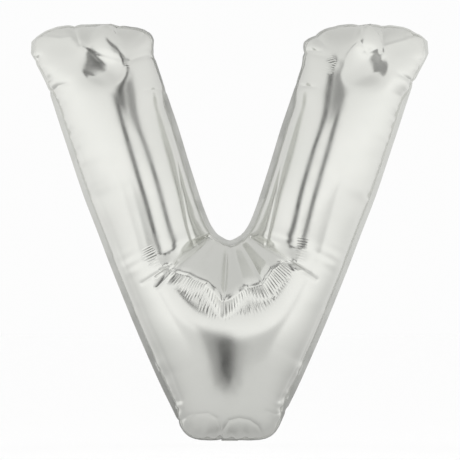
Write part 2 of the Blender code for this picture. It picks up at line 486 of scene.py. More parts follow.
# Edges where one panel of film stands over the next one, with the higher panel on the left on
# the way along: name, places, rise at the first place and at the last, reach of the rise.
STEPS = (
    ("left end", ((-0.213, 0.771), (-0.239, 0.779), (-0.274, 0.790), (-0.291, 0.799), (-0.308, 0.813)),
     0.0008, 0.0010, 0.050),
    ("left lens", ((-0.317, 0.828), (-0.348, 0.824), (-0.383, 0.832)), 0.0022, 0.0016, 0.022),
    ("right end", ((0.318, 0.790), (0.302, 0.796), (0.282, 0.791), (0.270, 0.806)), 0.0010, 0.0008, 0.045),
    ("right lens", ((0.384, 0.834), (0.360, 0.821), (0.315, 0.807)), 0.0018, 0.0024, 0.022),
)
STEP_DROP = 0.008  # width of the drop beside a step
STEP_END = 0.3  # share of the crease fade that is already past at a step's ends

# Dents, flat before they are softened: name, corners counter-clockwise with the softness of the
# side that follows each, the place where the dent lies on the film, how far it faces right and
# up there in degrees, and how its slope changes across it per metre.
DENTS = (
    ("left end", ((-0.316, 0.822, 0.007), (-0.294, 0.748, 0.012), (-0.256, 0.742, 0.012),
                  (-0.240, 0.748, 0.030), (-0.236, 0.777, 0.014)), (-0.303, 0.782), 14.0, 6.0, 3.0),
    ("right end", ((0.284, 0.796, 0.050), (0.278, 0.746, 0.018), (0.332, 0.744, 0.007),
                   (0.332, 0.800, 0.014)), (0.326, 0.770), -19.0, 6.0, 4.4),
)
DENT_ROUNDS = 16  # of averaging, which soften the dents' edges
DENT_NEAREST = 6  # points of the film that are averaged for its depth at a dent's place

# Where the rim is drawn in, or swells out, with a minus: place, amount and reach along the rim.
NOTCHES = (
    ((-0.397, 0.786), 0.0034, 0.014),
    ((-0.319, 0.852), 0.0040, 0.016),
    ((-0.229, 0.857), 0.0036, 0.016),
    ((-0.173, 0.843), 0.0016, 0.010),
    ((-0.152, 0.793), 0.0032, 0.012),
    ((-0.366, 0.718), 0.0026, 0.012),
    ((-0.127, 0.722), 0.0014, 0.010),
    ((0.170, 0.842), 0.0040, 0.014),
    ((0.215, 0.858), 0.0022, 0.012),
    ((0.267, 0.856), 0.0030, 0.018),
    ((0.314, 0.855), 0.0038, 0.018),
    ((0.383, 0.842), 0.0034, 0.014),
    ((0.372, 0.740), 0.0034, 0.012),
    ((0.150, 0.729), 0.0016, 0.010),
    ((0.159, 0.797), 0.0030, 0.012),
    ((-0.016, -0.004), 0.0028, 0.012),
    ((-0.103, 0.042), 0.0026, 0.012),
    ((0.115, 0.062), 0.0030, 0.012),
    ((-0.174, 0.832), -0.0110, 0.054),
    ((0.158, 0.815), -0.0085, 0.050),
)
NOTCH_REACH = 0.020  # how far a notch moves the film inside the rim

# The cone of film under the crotch: flat facets between spokes from FAN_TIP, which end in a
# ridge that stands over the film below. Columns: angle from +X in degrees, rise of the ridge
# above the round film.
FAN_TIP = (-0.004, 0.448)
FAN_SINK = 0.045  # the cone's tip lies this far behind the seam
FAN_SPOKES = (
    (218.0, 0.010),
    (242.0, 0.010),
    (267.0, 0.019),
    (284.0, 0.012),
    (301.5, 0.018),
    (314.0, 0.013),
    (327.5, 0.010),
)
# The ridge: angle from +X in degrees, distance from the tip, and length of the crimps below it.
FAN_RIDGE = (
    (212.0, 0.168, 0.012),
    (220.7, 0.150, 0.022),
    (231.9, 0.135, 0.036),
    (250.5, 0.132, 0.056),
    (259.6, 0.144, 0.058),
    (266.5, 0.162, 0.046),
    (272.6, 0.154, 0.060),
    (279.2, 0.144, 0.068),
    (287.3, 0.138, 0.070),
    (300.5, 0.144, 0.062),
    (304.4, 0.138, 0.050),
    (314.4, 0.132, 0.050),
    (323.6, 0.137, 0.040),
    (330.0, 0.165, 0.016),
)
FAN_ENDS = (216.0, 329.0)
FAN_SIDE = 12.0  # angle over which the cone runs out beyond its ends
FAN_FALL = 0.036  # over which the film falls back below the ridge
FAN_TOP = 0.22  # share of the way to the ridge over which the cone parts from the round film
FAN_ROUND = 0.84  # share of the way to the ridge from which the cone rounds off
FAN_END_SLOPE = 0.1  # share of its slope that the cone keeps at the ridge
FAN_BLEND = 0.0012  # over which the cone and the round film run into each other
FAN_NEAREST = 12  # points of the film that are averaged for its depth at a place
LEAST_DEPTH = 0.0005  # the film stays this far in front of the seam

# Fine crimps that point away from the fan's tip. Angles are from +X in degrees.
CRIMP_FIRST = 200
CRIMP_SPAN = 160
CRIMP_TURN = 2.0  # between two crimps
CRIMP_HEIGHT = 0.0008
CRIMP_START = 0.001  # how far above the ridge they begin
CRIMP_GROWTH = 0.004  # over which they reach their full height
CRIMP_TAPER = 0.030  # over which they run out
# Least share and spread of the pitch, the height and the length, from crimp to crimp.
CRIMP_VARIES = ((0.75, 0.5), (0.5, 0.7), (0.7, 0.4))
BAND_VARIES = ((0.775, 0.45), (0.5, 0.7), (0.55, 0.45))
# Bands of fine crimps across a line: name, places of the band's line, reach to the left of the
# line and to its right, pitch, height.
CRIMPS = (
    ("left hip", ((-0.170, 0.400), (-0.160, 0.380), (-0.150, 0.358)), 0.020, 0.020, 0.0050, 0.0005),
    ("right hip", ((0.150, 0.420), (0.146, 0.395), (0.140, 0.370)), 0.016, 0.018, 0.0050, 0.0004),
    ("right thigh", ((0.204, 0.745), (0.216, 0.772), (0.210, 0.795)), 0.042, 0.001, 0.0046, 0.0003),
    ("left thigh", ((-0.208, 0.780), (-0.204, 0.752)), 0.002, 0.022, 0.0046, 0.0004),
)
BAND_FADE = 0.008  # over which a band runs out at its ends

NARROW_FLANGE = 0.003  # how much of the flange shows where the film puckers
LEG_END = 0.690  # height from which it puckers
FOOT_END = 0.075  # height up to which it puckers
END_REACH = 0.040
SHIFT_FADE = 0.05  # over which the film inside the seam follows the seam's last move
PLY_GAP = 0.0004  # between the two plies of the flange
FILM_THICKNESS = 0.00025
SHARP_ANGLE = math.radians(75)  # edges bent more than this, such as the cut rim, are sharp
INNER_OFFSET = 0.0035  # from the film's outside to its plain inner skin
INNER_FADE = 0.020  # over which that grows from the seam
FINE_EDGE = 0.0026  # longest edge of the mesh near its details
FINEST_EDGE = 0.0012  # and close to them
FINE_NEAR = 0.012  # reach of the fine mesh beside steps and dents' sides, and of the finest below
FINEST_NEAR = 0.005
FINE_AT_CREASE = 0.7  # share of a crease's width
FINEST_AT_CREASE = 0.0025
FINE_ABOVE_RIDGE = 0.006
FINE_BELOW_CRIMPS = 0.002
RIPPLE = 0.0002  # how far the flange waves out of its plane
RIPPLE_WAVES = ((0.043, 0.5, 0.3), (0.071, 0.8, 1.9), (0.113, 0.7, 4.1))  # length, share, phase

# How the film's small wrinkles are smoothed out: everywhere in turns that shrink and swell, then
# more inside a circle round the hips and in a strip along the seam.
CALM_ROUNDS = 12
CALM_GAINS = (0.63, -0.64)
CALM_CENTRE = (0.0, 0.330)
CALM_INSIDE = 0.235
CALM_OUTSIDE = 0.300
CALM_HIP_ROUNDS = 100
CALM_HIP_SEAM = (0.012, 0.020)  # distance from the seam where it starts, and over which it grows
CALM_SIDE = 0.045  # the strip's outer reach
CALM_SIDE_FADE = 0.020
CALM_SIDE_ROUNDS = 10
CALM_SIDE_SEAM = (0.004, 0.010)


def in_reach(plan, line, reach):
    """Which points lie in the box round a polyline, widened by reach."""
    low, high = line.min(0) - reach, line.max(0) + reach
    return np.flatnonzero(np.all((plan > low) & (plan < high), axis=1))


def alongside(plan, places, reach):
    """The points near a line: which, their distances, how far along, their sides, its length."""
    line = np.array(places)
    near = in_reach(plan, line, reach)
    return near, *nearest_on(plan[near], line), marks_along(line)[-1]


def crease_depths(plan):
    """How deep the creases press the film in, at each place."""
    depths = np.zeros(len(plan))
    for _, places, first, last, width in CREASES:
        near, distance, along, _, length = alongside(plan, places, width)
        depth = (first + (last - first) * along / length) * np.clip(1 - distance / width, 0, 1) ** 2
        depths[near] = np.maximum(depths[near], depth)
    return depths


def step_heights(plan):
    """How far the panels stand out beside the steps, at each place."""
    heights = np.zeros(len(plan))
    for _, places, first, last, reach in STEPS:
        near, distance, along, side, length = alongside(plan, places, reach)
        rise = first + (last - first) * along / length
        for from_end in (along, length - along):
            rise = rise * smooth(from_end / CREASE_FADE + STEP_END)
        high = np.clip(1 - distance / reach, 0, 1) ** 2
        low = smooth(1 - distance / STEP_DROP)
        heights[near] += rise * np.where(side > 0, high, low)
    return heights


def dent_depths(plan, depth):
    """How much the flat dents lower the film at each place."""
    lowered = np.zeros(len(plan))
    for _, corners, anchor, turn, lift, bend in DENTS:
        loop = np.array(corners)
        reach = loop[:, 2].max()
        near = in_reach(plan, loop[:, :2], reach)
        cover = np.ones(len(near))
        for (x0, h0, soft), (x1, h1, _) in zip(corners, corners[1:] + corners[:1]):
            out = (h1 - h0) * (plan[near, 0] - x0) - (x1 - x0) * (plan[near, 1] - h0)
            cover *= 1 - smooth(out / math.hypot(x1 - x0, h1 - h0) / soft)
        away = plan[near] - np.array(anchor)
        level = depth[near][np.argsort(np.linalg.norm(away, axis=1))[:DENT_NEAREST]].mean()
        flat = level - away @ np.tan(np.radians([turn, lift])) + bend / 2 * away[:, 0] ** 2
        lowered[near] += (depth[near] - flat) * cover
    return lowered


def softly_dented(shape, triangles, planar):
    """The film with its dents, averaged so that they run out softly."""
    edges, _ = edges_of(triangles)
    degree = np.bincount(edges.ravel(), minlength=len(shape))
    lowered = dent_depths(shape[:, [0, 2]], -shape[:, 1])
    shape = shape.copy()
    shape[:, 1] += averaged(lowered, edges, degree, ~planar, DENT_ROUNDS)
    return shape


def notch_moves(plan, rim):
    """How far the notches draw the rim in, and the film beside it, at each place."""
    moves = np.zeros_like(plan)
    normals = outward(rim)
    for place, amount, width in NOTCHES:
        start = np.argmin(np.linalg.norm(rim - np.array(place), axis=1))
        offset = plan - rim[start]
        into = -(offset @ normals[start])
        across = np.abs(offset @ np.array([-normals[start][1], normals[start][0]]))
        near = (across < width) & (np.abs(into) < 5 * NOTCH_REACH)
        share = np.clip(1 - across[near] / width, 0, 1)
        fall = share**2 if amount > 0 else smooth(share)
        fall *= np.exp(-np.maximum(into[near], 0) / NOTCH_REACH)
        moves[near] -= normals[start] * (amount * fall)[:, None]
    return moves


def from_tip(plan):
    """Distance and angle of each place from the cone's tip."""
    offset = plan - np.array(FAN_TIP)
    return np.linalg.norm(offset, axis=1), np.degrees(np.arctan2(offset[:, 1], offset[:, 0])) % 360


def ridge_at(angles):
    """The ridge's distance from the tip and the length of its crimps, at angles round the tip."""
    marks, reaches, lengths = np.array(FAN_RIDGE).T
    return np.interp(angles, marks, reaches), np.interp(angles, marks, lengths)


def fan_slopes(angle, reach, height):
    """The cone's slope at each angle: flat facets between the spokes."""
    spokes = [(at, np.interp(at, angle, height), np.interp(at, angle, reach)) for at, _ in FAN_SPOKES]
    spokes = [(at, (top + FAN_SINK) / far) for at, top, far in spokes]
    slope = np.full(len(angle), spokes[0][1])
    for (first, steep), (last, steeper) in zip(spokes, spokes[1:]):
        a, b = np.radians(angle - first), np.radians(last - angle)
        wedge = (angle >= first) & (angle <= last)
        flat = (steep * np.sin(b) + steeper * np.sin(a)) / math.sin(math.radians(last - first))
        slope[wedge] = flat[wedge]
    slope[angle > spokes[-1][0]] = spokes[-1][1]
    return slope


def press_fan(plan, depth):
    """The round film with the cone pressed into it, the ridge raised, and its fall below."""
    angles = np.arange(FAN_ENDS[0], FAN_ENDS[1] + 1.0)
    reaches, _ = ridge_at(angles)
    ways = np.stack([np.cos(np.radians(angles)), np.sin(np.radians(angles))], 1)
    tip = np.array(FAN_TIP)
    round_film = np.array([
        depth[np.argsort(np.linalg.norm(plan - tip - way * reach, axis=1))[:FAN_NEAREST]].mean()
        for way, reach in zip(ways, reaches)
    ])
    rises = np.interp(angles, *np.array(FAN_SPOKES).T)
    slopes = fan_slopes(angles, reaches, round_film + rises)
    rises = slopes * reaches - FAN_SINK - round_film
    distance, turn = from_tip(plan)
    reach = np.interp(turn, angles, reaches)
    slope = np.interp(turn, angles, slopes)
    share = distance / reach
    steep = 1 / (FAN_ROUND + (1 + FAN_END_SLOPE) * (1 - FAN_ROUND) / 2)
    past = np.clip((share - FAN_ROUND) / (1 - FAN_ROUND), 0, 1)
    rounding = past * past * (1 - FAN_ROUND) * (1 - FAN_END_SLOPE) / 2
    cone = slope * reach * steep * (np.minimum(share, 1) - rounding) - FAN_SINK
    blend = np.exp(-np.abs(depth - cone) / FAN_BLEND)
    lowest = np.minimum(depth, cone) - FAN_BLEND * np.log1p(blend)
    above = lowest + (cone - lowest) * smooth((share - FAN_TOP) / FAN_TOP)
    down = np.clip((distance - reach) / FAN_FALL, 0, 1)
    below = depth + np.interp(turn, angles, rises) * (1 - down) ** 2
    pressed = np.where(share < 1, above, below)
    outside = np.maximum(FAN_ENDS[0] - turn, turn - FAN_ENDS[1])
    return depth + (pressed - depth) * (1 - smooth(outside / FAN_SIDE))


def uneven(seed, at, count, first, pitch, varies):
    """Uneven crimps at places along them: how many crimps on, and their heights and lengths."""
    random = np.random.default_rng(seed)
    pitches, heights, lengths = [least + spread * random.random(count) for least, spread in varies]
    order = np.arange(count)
    phase = np.interp(at, first + np.cumsum(pitch * pitches), order)
    return phase, np.interp(phase, order, heights), np.interp(phase, order, lengths)


def fan_crimps(plan):
    """The relief of the crimps below the ridge, which point away from the fan's tip."""
    distance, turn = from_tip(plan)
    reach, length = ridge_at(turn)
    below = distance - reach
    count = int(CRIMP_SPAN / CRIMP_TURN)
    phase, strength, share = uneven(41, turn, count, CRIMP_FIRST, CRIMP_TURN, CRIMP_VARIES)
    mask = smooth((below + CRIMP_START) / CRIMP_GROWTH)
    mask *= smooth((length * share - below) / CRIMP_TAPER)
    mask *= (turn > FAN_RIDGE[0][0]) & (turn < FAN_RIDGE[-1][0])
    wave = 1 - (2 * np.abs(phase % 1 - 0.5)) ** 2
    return CRIMP_HEIGHT * strength * mask * (1.5 * wave - 1)


def crimp_heights(plan):
    """The relief of the other crimp bands at each place."""
    heights = np.zeros(len(plan))
    for k, (_, band, left, right, pitch, height) in enumerate(CRIMPS):
        near, distance, along, side, length = alongside(plan, band, max(left, right))
        count = int(length / pitch) + 6
        phase, strength, share = uneven(100 + k, along, count, -pitch, pitch, BAND_VARIES)
        reach = np.where(side > 0, left, right)
        mask = smooth((1 - distance / reach / share) * 2)
        mask *= smooth(along / BAND_FADE) * smooth((length - along) / BAND_FADE)
        heights[near] += height * strength * mask * (1 - 4 * np.abs(phase % 1 - 0.5))
    return heights


def ripple(plan, rim):
    """How far the flange stands out of the seam plane, the same for both plies."""
    distance, along, _ = nearest_on(plan, closed(rim))
    wave = sum(
        share * np.sin(2 * math.pi * along / length + phase) for length, share, phase in RIPPLE_WAVES
    )
    return RIPPLE * wave * smooth((FLANGE - distance) / FLANGE)


def fit_outline(film, rim):
    """Moves the film by its last millimetres, so that seam and rim lie on the real outline.

    Where the film puckers, at the legs' ends and the foot, it hides most of the flange.
    """
    shape = film["shape"].copy()
    plan = shape[:, [0, 2]]
    hidden = smooth((rim[:, 1] - LEG_END) / END_REACH) + smooth((FOOT_END - rim[:, 1]) / END_REACH)
    seam_line = rim - outward(rim) * (FLANGE - (FLANGE - NARROW_FLANGE) * hidden)[:, None]

    def shift_to(line, loop):
        line = closed(line)
        _, along, _ = nearest_on(plan[loop], line)
        return rows_at(along, marks_along(line), line) - plan[loop]

    def carried(points, loop, shift):
        line = closed(plan[loop])
        distance, along, _ = nearest_on(points, line)
        return distance, rows_at(along, marks_along(line), closed(shift))

    seam, edge, flange = film["seam"], film["rim"], film["planar"]
    seam_shift, edge_shift = shift_to(seam_line, seam), shift_to(rim, edge)
    distance, shift = carried(plan, seam, seam_shift)
    to_edge, outer_shift = carried(plan[flange], edge, edge_shift)
    share = (distance[flange] / (distance[flange] + to_edge))[:, None]
    mixed = shift[flange] * (1 - share) + outer_shift * share
    shift *= np.exp(-distance / SHIFT_FADE)[:, None]
    shift[flange] = mixed
    shift[seam] = seam_shift
    shift[edge] = edge_shift
    shape[:, [0, 2]] += shift
    return shape


def detail_wanted(plan, limit):
    """Which places need a mesh finer than limit."""
    wanted = np.zeros(len(plan), bool)
    near_line = FINE_NEAR if limit >= FINE_EDGE else FINEST_NEAR
    bands = [(band, left, right) for _, band, left, right, _, _ in CRIMPS]
    for _, places, _, _, width in CREASES:
        reach = FINE_AT_CREASE * width if limit >= FINE_EDGE else FINEST_AT_CREASE
        bands.append((places, reach, reach))
    bands += [(places, near_line, near_line) for _, places, _, _, _ in STEPS]
    for _, corners, *_ in DENTS:
        bands.append(([corner[:2] for corner in corners + corners[:1]], near_line, near_line))
    for places, left, right in bands:
        near, distance, _, side, _ = alongside(plan, places, max(left, right))
        wanted[near[distance < np.where(side > 0, left, right)]] = True
    distance, turn = from_tip(plan)
    reach, length = ridge_at(turn)
    below = distance - reach
    in_fan = (turn > FAN_RIDGE[0][0]) & (turn < FAN_RIDGE[-1][0])
    return wanted | (in_fan & (below > -FINE_ABOVE_RIDGE) & (below < length + FINE_BELOW_CRIMPS))


def averaged(values, edges, degree, free, rounds):
    """Values blended with their neighbours' again and again; those that aren't free stay."""
    for _ in range(rounds):
        total = np.bincount(edges[:, 0], values[edges[:, 1]], len(values))
        total += np.bincount(edges[:, 1], values[edges[:, 0]], len(values))
        values = np.where(free, total / degree, values)
    return values


def calmed(shape, triangles, planar, away):
    """The film with its small wrinkles smoothed out, most at the hips and along the sides."""
    edges, _ = edges_of(triangles)
    degree = np.bincount(edges.ravel(), minlength=len(shape))
    free = ~planar
    for _ in range(CALM_ROUNDS):
        for gain in CALM_GAINS:
            for axis in range(3):
                mean = averaged(shape[:, axis], edges, degree, free, 1)
                shape[:, axis] += gain * (mean - shape[:, axis])
    out = np.linalg.norm(shape[:, [0, 2]] - np.array(CALM_CENTRE), axis=1)
    hips = smooth((CALM_OUTSIDE - out) / (CALM_OUTSIDE - CALM_INSIDE))
    hips *= smooth((away - CALM_HIP_SEAM[0]) / CALM_HIP_SEAM[1])
    sides = smooth((CALM_SIDE - away) / CALM_SIDE_FADE)
    sides *= smooth((away - CALM_SIDE_SEAM[0]) / CALM_SIDE_SEAM[1])
    for share, rounds in ((sides, CALM_SIDE_ROUNDS), (hips, CALM_HIP_ROUNDS)):
        once = averaged(shape[:, 1], edges, degree, free, rounds)
        twice = averaged(once, edges, degree, free, rounds)
        shape[:, 1] += share * (2 * once - twice - shape[:, 1])
    return shape


def detailed_film(film, rim):
    """The film with a finer mesh where it has detail, and its cone, dents, creases and crimps.

    Returns its points, its triangles, which points lie in the seam plane, and how far each lies
    inside the seam.
    """
    shape = fit_outline(film, rim)
    triangles, planar = film["triangles"], film["planar"]
    away = -loop_distance(shape[:, [0, 2]], shape[film["seam"]][:, [0, 2]])
    away[planar] = 0
    shape = calmed(shape, triangles, planar, away)
    shape = softly_dented(shape, triangles, planar)
    columns = [away]
    for limit in (FINE_EDGE, FINEST_EDGE):
        wanted = detail_wanted(shape[:, [0, 2]], limit)

        def chosen(edges):
            lengths = np.linalg.norm(shape[edges[:, 0]] - shape[edges[:, 1]], axis=1)
            fixed = planar[edges[:, 0]] & planar[edges[:, 1]]
            return (wanted[edges[:, 0]] | wanted[edges[:, 1]]) & (lengths > limit) & ~fixed

        triangles, columns, shape, planar, _ = refine(triangles, chosen, columns, shape, planar)
    away = columns[0]
    plan = shape[:, [0, 2]]
    fade = smooth(away / SEAM_FADE) * ~planar
    depth = -shape[:, 1]
    shape[:, 1] -= (np.maximum(press_fan(plan, depth), LEAST_DEPTH) - depth) * fade
    relief = step_heights(plan) + fan_crimps(plan) + crimp_heights(plan) - crease_depths(plan)
    shape += vertex_normals(shape, triangles) * (relief * fade)[:, None]
    shape[:, [0, 2]] += notch_moves(plan, rim)
    return shape, triangles, planar, away


def film_skin(film, rim):
    """The front film as a closed skin: detailed outside, plain inside, joined round the rim."""
    shape, triangles, planar, away = detailed_film(film, rim)
    outer = shape.copy()
    outer[:, 1] -= PLY_GAP / 2 + FILM_THICKNESS
    normals = vertex_normals(shape, triangles)
    coarse = film["coarse_triangles"]
    used = np.unique(coarse)
    place = np.full(len(shape), -1)
    place[used] = np.arange(len(used)) + len(outer)
    inset = INNER_OFFSET * smooth(away[used] / INNER_FADE) + FILM_THICKNESS
    inset[planar[used]] = 0
    inner = outer[used] - normals[used] * inset[:, None]
    inner[planar[used], 1] = outer[used][planar[used], 1] + FILM_THICKNESS
    fine_rim = film["rim"]
    i, m, j = fine_rim[0::2], fine_rim[1::2], np.roll(fine_rim[0::2], -1)
    faces = np.vstack([
        triangles,
        place[coarse][:, ::-1],
        np.stack([i, place[i], m], 1),
        np.stack([m, place[i], place[j]], 1),
        np.stack([m, place[j], j], 1),
    ])
    points = np.vstack([outer, inner])
    wave = np.zeros(len(points))
    flat = np.flatnonzero(np.concatenate([planar, planar[used]]))
    wave[flat] = ripple(points[flat][:, [0, 2]], rim)
    points[:, 2] += bottom
    return points, faces, wave


def film_mesh(name, skin, side):
    """The film's skin at the front (-1), or turned over to the back (1)."""
    points, faces, wave = skin
    if side > 0:
        points = points * (1, -1, 1)
        faces = faces[:, ::-1]
    points = points + wave[:, None] * np.array((0, 1, 0))
    return build_mesh(name, points, faces)


def build_mesh(name, points, faces):
    mesh = bpy.data.meshes.new(name)
    mesh.from_pydata(points.tolist(), [], faces.tolist())
    mesh.validate()
    mesh.shade_smooth()
    mesh.set_sharp_from_angle(angle=SHARP_ANGLE)
    piece = bpy.data.objects.new(name, mesh)
    bpy.context.scene.collection.objects.link(piece)
    return piece


def new_material(name):
    made = bpy.data.materials.new(name)
    made.use_nodes = True
    return made, made.node_tree


def fill(tree, node, inputs):
    """Sets a node's inputs to values, or joins them to other nodes' outputs."""
    for name, value in inputs.items():
        if isinstance(value, bpy.types.NodeSocket):
            tree.links.new(value, node.inputs[name])
        else:
            node.inputs[name].default_value = value


def add_node(tree, kind, inputs, **settings):
    node = tree.nodes.new("ShaderNode" + kind)
    for name, value in settings.items():
        setattr(node, name, value)
    fill(tree, node, inputs)
    return node


def calculated(tree, operation, *values):
    return add_node(tree, "Math", dict(enumerate(values)), operation=operation).outputs["Value"]


def ranged(tree, value, start, end, low, high, **settings):
    """A value from start to end as one from low to high, which it doesn't leave beyond them."""
    inputs = {"Value": value, "From Min": start, "From Max": end, "To Min": low, "To Max": high}
    return add_node(tree, "MapRange", inputs, **settings).outputs["Result"]


def mixed(tree, share, first, second, kind="FLOAT"):
    inputs = {"Factor": share, "A": first, "B": second}
    return add_node(tree, "Mix", inputs, data_type=kind).outputs["Result"]


def noise(tree, scale, detail):
    place = add_node(tree, "TexCoord", {})
    inputs = {"Vector": place.outputs["Object"], "Scale": scale, "Detail": detail}
    return add_node(tree, "TexNoise", inputs).outputs["Fac"]


def seal_band(tree):
    """1 on the heat-sealed edge, which lies in the seam plane, and 0 on the film inside it: where the
    seal's rougher finish and its painted shade go.
    """
    place = add_node(tree, "TexCoord", {})
    split = add_node(tree, "SeparateXYZ", {"Vector": place.outputs["Object"]})
    return ranged(tree, calculated(tree, "ABSOLUTE", split.outputs["Y"]), *SEAL_ENDS, 1.0, 0.0)


def foil_material():
    """Metallised film: a satin mirror with faint haze, from handling and from the film's own grain.

    Its heat-sealed edge is rougher, and its colour there is darker: partly the seal's own duller tone and
    partly painted shade along the edge.
    """
    made, tree = new_material("silver_foil_finish")
    band = seal_band(tree)
    tint = mixed(tree, noise(tree, 9, 2), *FOIL_TINTS, "RGBA")
    rough = ranged(tree, noise(tree, 30, 3), *NOISE_ENDS, *FOIL_ROUGHNESS)
    bump = add_node(tree, "Bump", {"Strength": 0.05, "Distance": 0.0005, "Height": noise(tree, 260, 2)})
    fill(tree, tree.nodes["Principled BSDF"], {
        "Metallic": 1.0,
        # the seal band's darker base colour is partly painted shade along the edge
        "Base Color": mixed(tree, band, tint, SEAL_TINT_AND_SHADE, "RGBA"),
        "Roughness": mixed(tree, band, rough, SEAL_ROUGHNESS),
        "Normal": bump.outputs["Normal"],
    })
    return made


def clear_material():
    made, tree = new_material("clear_film_finish")
    fill(tree, tree.nodes["Principled BSDF"], {
        "Base Color": CLEAR_TINT,
        "Alpha": 0.6,
        "Roughness": ranged(tree, noise(tree, 60, 2), *NOISE_ENDS, *CLEAR_ROUGHNESS),
    })
    return made


def floor_material():
    made, tree = new_material("studio_floor")
    fill(tree, tree.nodes["Principled BSDF"], {
        "Base Color": (0.95, 0.95, 0.95, 1),
        "Roughness": 0.9,
        "Emission Color": (1, 1, 1, 1),
        "Emission Strength": FLOOR_GLOW,
    })
    return made


def curve(tree, value, table):
    """A smooth curve through a table of (value, result), with results up to 2."""
    low, high = table[0][0], table[-1][0]
    ramp = add_node(tree, "ValToRGB", {"Fac": ranged(tree, value, low, high, 0.0, 1.0)})
    ramp.color_ramp.interpolation = "B_SPLINE"
    stops = ramp.color_ramp.elements
    for at, _ in table[1:-1]:
        stops.new((at - low) / (high - low))
    for k, (_, result) in enumerate(table):
        stops[k].color = (result / 2, result / 2, result / 2, 1)
    return calculated(tree, "MULTIPLY", ramp.outputs["Color"], 2.0)


def glow_material(name):
    made, tree = new_material(name)
    tree.nodes.clear()
    glow = add_node(tree, "Emission", {"Color": GLOW_TINT})
    return made, tree, glow, add_node(tree, "OutputMaterial", {})


def panel_material(name, brightness, side_fade, end_fade):
    """A glowing panel that fades out towards its sides and ends, by those shares of its size."""
    made, tree, glow, out = glow_material(name)
    glow.inputs["Strength"].default_value = brightness
    place = add_node(tree, "UVMap", {}, uv_map="across_and_along")
    split = add_node(tree, "SeparateXYZ", {"Vector": place.outputs["UV"]})
    masks = []
    for axis, fade in (("X", side_fade), ("Y", end_fade)):
        from_middle = calculated(tree, "SUBTRACT", split.outputs[axis], 0.5)
        apart = calculated(tree, "ABSOLUTE", from_middle)
        masks.append(ranged(tree, apart, 0.5, 0.5 - fade, 0.0, 1.0, interpolation_type="SMOOTHSTEP"))
    clear = add_node(tree, "BsdfTransparent", {}).outputs["BSDF"]
    inputs = {"Fac": calculated(tree, "MULTIPLY", *masks), 1: clear, 2: glow.outputs["Emission"]}
    fill(tree, out, {"Surface": add_node(tree, "MixShader", inputs).outputs["Shader"]})
    return made


def dome_material():
    """The studio's glow by direction, from the tables below."""
    made, tree, glow, out = glow_material("studio_dome_glow")
    place = add_node(tree, "TexCoord", {})
    way = add_node(tree, "VectorMath", {0: place.outputs["Object"]}, operation="NORMALIZE")
    split = add_node(tree, "SeparateXYZ", {"Vector": way.outputs["Vector"]})
    rise = calculated(tree, "DEGREES", calculated(tree, "ARCSINE", split.outputs["Z"]))
    ahead = calculated(tree, "MULTIPLY", split.outputs["Y"], -1.0)
    turn = calculated(tree, "DEGREES", calculated(tree, "ARCCOSINE", ahead))
    sides = mixed(
        tree, curve(tree, rise, SIDE_SHARE), curve(tree, turn, SIDES_LOW), curve(tree, turn, SIDES_HIGH)
    )
    fill(tree, glow, {"Strength": calculated(tree, "MULTIPLY", curve(tree, rise, SKY), sides)})
    fill(tree, out, {"Surface": glow.outputs["Emission"]})
    return made


NOISE_ENDS = (0.3, 0.7)  # between which most of a noise texture's values lie
SEAL_ENDS = (0.0010, 0.0035)  # distance from the seam plane over which the seal's finish, with its painted shade, ends
# the seal's colour: partly its own duller tone, partly painted shade that darkens the edge
SEAL_TINT_AND_SHADE = (0.67, 0.675, 0.655, 1)
SEAL_ROUGHNESS = 0.34
FOIL_TINTS = ((0.775, 0.785, 0.755, 1), (0.815, 0.815, 0.790, 1))
FOIL_ROUGHNESS = (0.17, 0.23)
CLEAR_TINT = (0.86, 0.88, 0.86, 1)
CLEAR_ROUGHNESS = (0.12, 0.25)
GLOW_TINT = (1, 1, 0.985, 1)

# The studio's glow straight ahead of the letter, by elevation in degrees.
SKY = (
    (-90, 0.50),
    (-78, 0.60),
    (-65, 0.75),
    (-45, 0.76),
    (-32, 0.76),
    (-22, 0.86),
    (-14, 1.07),
    (-4, 1.10),
    (6, 1.03),
    (16, 0.95),
    (28, 0.90),
    (45, 0.87),
    (60, 0.78),
    (75, 0.72),
    (90, 0.69),
)
# How the glow changes from the front (0) to the back (180) below the letter's height, and above.
SIDES_LOW = ((0, 1.0), (60, 1.0), (85, 0.92), (105, 0.74), (140, 0.70), (180, 0.74))
SIDES_HIGH = ((0, 1.0), (70, 1.0), (100, 0.97), (125, 0.88), (150, 0.75), (180, 0.72))
SIDE_SHARE = ((-90, 0.0), (-30, 0.0), (-12, 1.0), (90, 1.0))  # of the second, by elevation
DOME_RADIUS = 3.4
